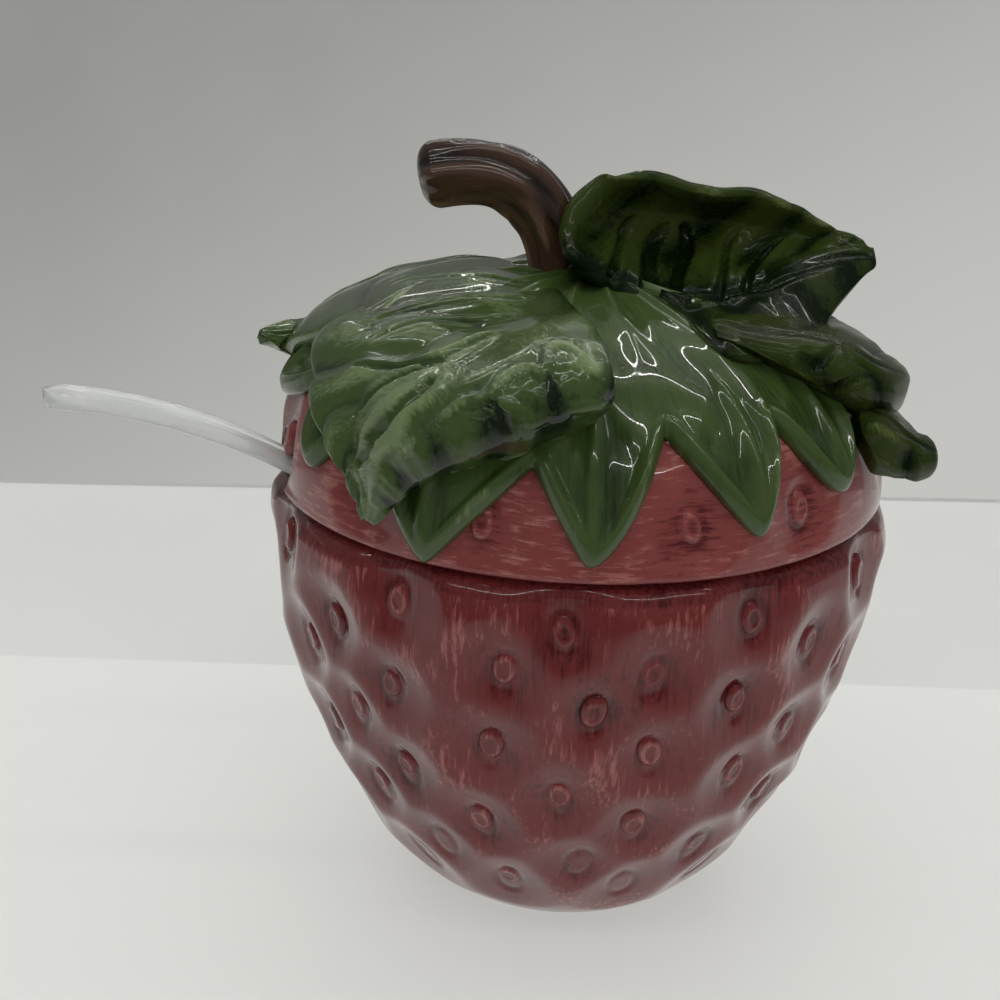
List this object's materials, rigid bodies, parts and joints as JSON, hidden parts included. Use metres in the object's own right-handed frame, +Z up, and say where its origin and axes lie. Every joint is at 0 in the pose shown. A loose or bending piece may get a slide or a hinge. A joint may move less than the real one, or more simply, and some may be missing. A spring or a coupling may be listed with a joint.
{
  "type": "jam pot",
  "caption": "Glazed ceramic jam pot shaped as a dimpled strawberry, with a lift-off domed lid, raised leaves, a curved stem handle and a clear ribbed spoon in a lid notch",
  "frame": {"origin": "centre of the foot ring, on the plane that the pot stands on", "axes": "+Z up; +X to the right and -Y to the front of the pictured view; the spoon leaves the pot on the -X side"},
  "size_m": [0.15, 0.1126, 0.1375],
  "materials": {
    "berry_glaze": "brushed dark red underglaze under a clear gloss glaze",
    "leaf_glaze": "dark green underglaze, paler on the ridges, under a clear gloss glaze",
    "stem_glaze": "streaked brown underglaze under a clear gloss glaze",
    "clear_plastic": "clear, smooth, lightly ribbed"
  },
  "bodies": {
    "pot": {"pot_body": "berry_glaze"},
    "lid": {"lid_dome": "berry_glaze", "calyx": "leaf_glaze", "leaf_folded": "leaf_glaze", "leaf_upright": "leaf_glaze", "leaf_back_left": "leaf_glaze", "leaf_right_upper": "leaf_glaze", "leaf_right_lower": "leaf_glaze", "leaf_back": "leaf_glaze", "stem": "stem_glaze"},
    "spoon": {"spoon": "clear_plastic"}
  },
  "joints": [
    {"name": "lid_lift", "type": "slide", "parent": "pot", "child": "lid", "axis": [0, 0, 1], "range_m": [0, 0.16]},
    {"name": "spoon_lift", "type": "slide", "parent": "pot", "child": "spoon", "axis": [0, 0, 1], "range_m": [0, 0.096]}
  ],
  "couplings": [
    {"joint": "spoon_lift", "follows": "lid_lift", "ratio": 0.6}
  ]
}
